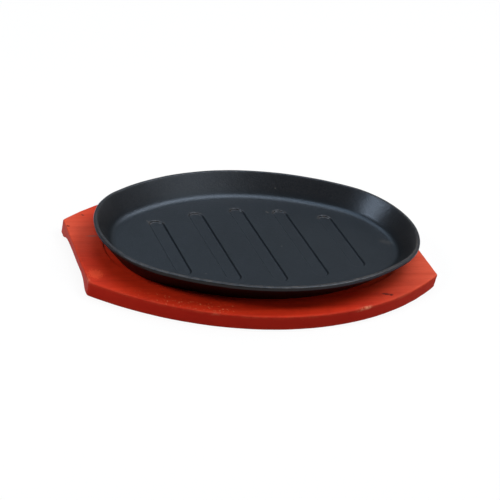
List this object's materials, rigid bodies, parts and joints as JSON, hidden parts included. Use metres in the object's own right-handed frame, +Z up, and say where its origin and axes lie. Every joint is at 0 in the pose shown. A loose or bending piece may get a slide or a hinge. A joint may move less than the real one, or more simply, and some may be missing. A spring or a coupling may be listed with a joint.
{
  "type": "sizzle platter",
  "caption": "Oval cast iron sizzle platter with a flared wall and grooved floor, seated in a shallow pocket on a red stained wooden base board with finger scoops under its ends.",
  "frame": {"origin": "middle of the base board's underside, on the surface that it stands on", "axes": "+X along the board's length, +Z up; the curved side seen in the picture faces -Y"},
  "size_m": [0.3, 0.196, 0.0343],
  "materials": {
    "cast_iron": "fine sand-cast texture with a dull, seasoned blue-black surface",
    "stained_wood": "red stain with a thin satin lacquer, rubbed pale on a few edges"
  },
  "bodies": {
    "root": {"platter": "cast_iron", "base_board": "stained_wood"}
  },
  "joints": []
}
